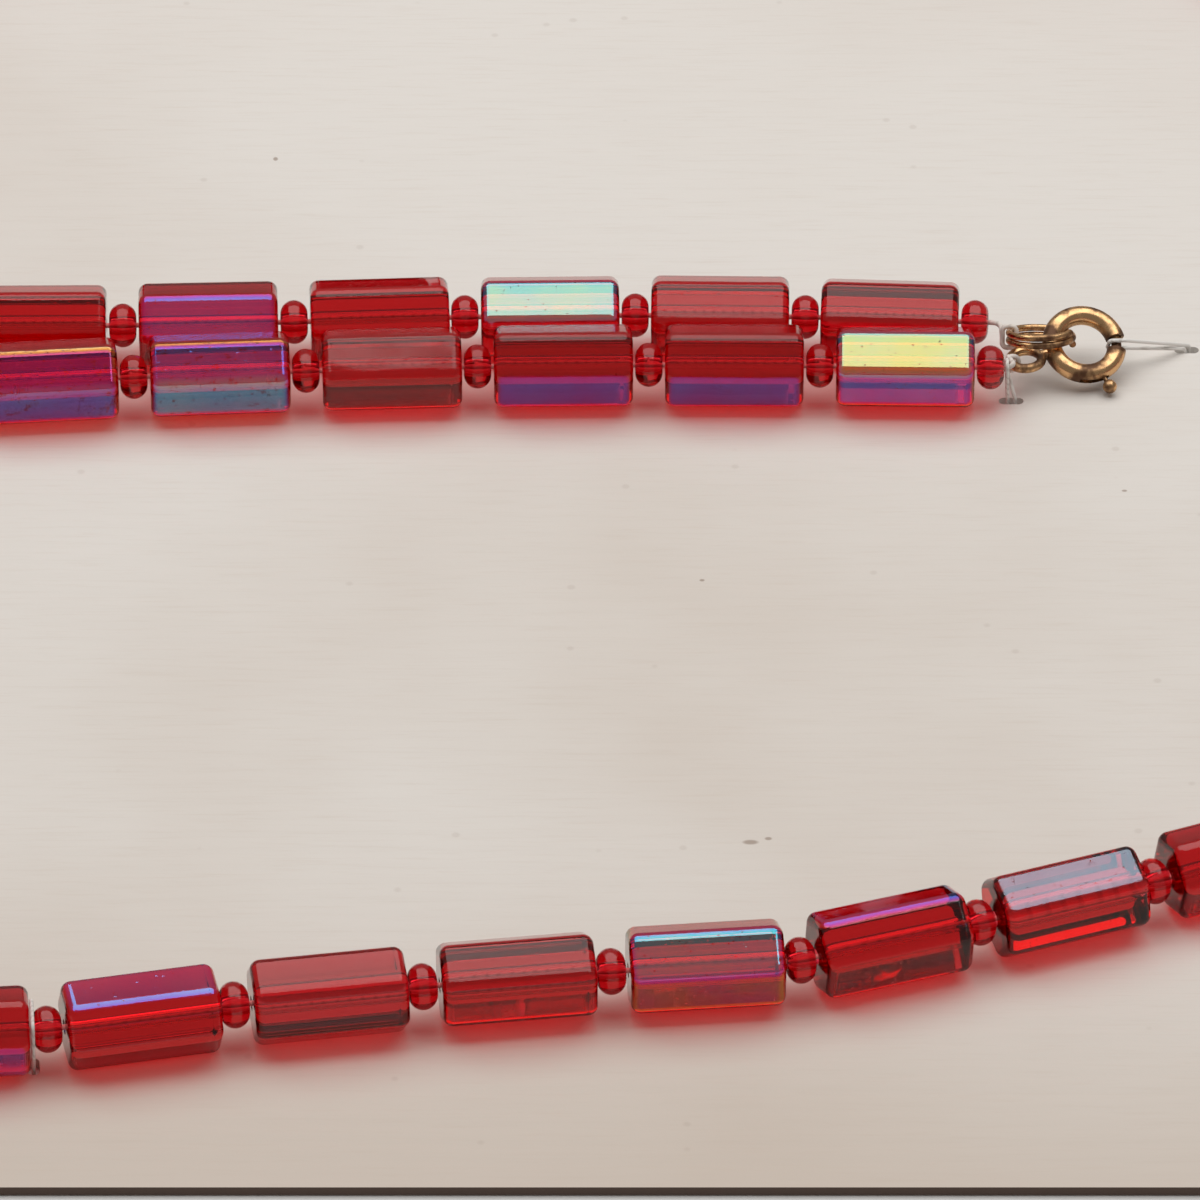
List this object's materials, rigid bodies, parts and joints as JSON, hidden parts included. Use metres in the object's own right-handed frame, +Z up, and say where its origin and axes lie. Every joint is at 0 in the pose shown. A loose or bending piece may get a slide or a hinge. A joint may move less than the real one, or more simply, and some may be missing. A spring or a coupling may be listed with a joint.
{
  "type": "beaded necklace on a display card",
  "caption": "Necklace of long hexagonal red glass beads and small round spacers with a bolt-ring clasp, sewn in a closed loop on a thin plain card.",
  "frame": {"origin": "middle of the card's underside", "axes": "+X along the straight rows of beads towards the clasp, +Y from the card's front edge to its back, +Z up from the card to the beads"},
  "size_m": [0.2394, 0.2264, 0.0083],
  "materials": {
    "ruby_glass": "polished, some tubes with an iridescent film on one side",
    "cotton_thread": "twisted cotton",
    "stitch_thread": "fine doubled sewing thread",
    "gilt_metal": "worn gilt with dark tarnish",
    "card": "uncoated ivory card, faintly ribbed"
  },
  "bodies": {
    "necklace": {"bead_left_turn_1": "ruby_glass", "bead_left_turn_2": "ruby_glass", "bead_left_turn_3": "ruby_glass", "bead_left_turn_4": "ruby_glass", "bead_left_turn_5": "ruby_glass", "bead_left_turn_6": "ruby_glass", "bead_left_turn_7": "ruby_glass", "bead_left_turn_8": "ruby_glass", "bead_left_turn_9": "ruby_glass", "bead_middle_1": "ruby_glass", "bead_middle_2": "ruby_glass", "bead_middle_3": "ruby_glass", "bead_middle_4": "ruby_glass", "bead_middle_5": "ruby_glass", "bead_middle_6": "ruby_glass", "bead_near_1": "ruby_glass", "bead_near_2": "ruby_glass", "bead_near_3": "ruby_glass", "bead_near_4": "ruby_glass", "bead_near_5": "ruby_glass", "bead_near_6": "ruby_glass", "bead_near_7": "ruby_glass", "bead_near_8": "ruby_glass", "bead_rear_1": "ruby_glass", "bead_rear_2": "ruby_glass", "bead_rear_3": "ruby_glass", "bead_rear_4": "ruby_glass", "bead_rear_5": "ruby_glass", "bead_rear_6": "ruby_glass", "bead_rear_turn_1": "ruby_glass", "bead_rear_turn_2": "ruby_glass", "bead_rear_turn_3": "ruby_glass", "bead_rear_turn_4": "ruby_glass", "bead_rear_turn_5": "ruby_glass", "bead_rear_turn_6": "ruby_glass", "bead_right_turn_1": "ruby_glass", "bead_right_turn_2": "ruby_glass", "bead_right_turn_3": "ruby_glass", "beads_back_left": "ruby_glass", "beads_back_right": "ruby_glass", "beads_right_turn": "ruby_glass", "bolt_ring": "gilt_metal", "card": "card", "spacers_left_turn": "ruby_glass", "spacers_middle": "ruby_glass", "spacers_near": "ruby_glass", "spacers_rear": "ruby_glass", "spacers_rear_turn": "ruby_glass", "spacers_right_turn": "ruby_glass", "split_ring": "gilt_metal", "stitch_clasp": "stitch_thread", "stitch_eyelet": "stitch_thread", "stitch_near": "stitch_thread", "thread_near": "cotton_thread", "thread_rear": "cotton_thread"},
    "bolt": {"ring_bolt": "gilt_metal"}
  },
  "joints": [
    {"name": "clasp_bolt", "type": "hinge", "parent": "necklace", "child": "bolt", "pos_m": [0.0429, 0.00161, 0.0038], "axis": [-0.1397, 0.4495, -0.8823], "range_deg": [0, 30], "stiffness_Nm_per_rad": 0.004, "springref_deg": -17.19}
  ]
}
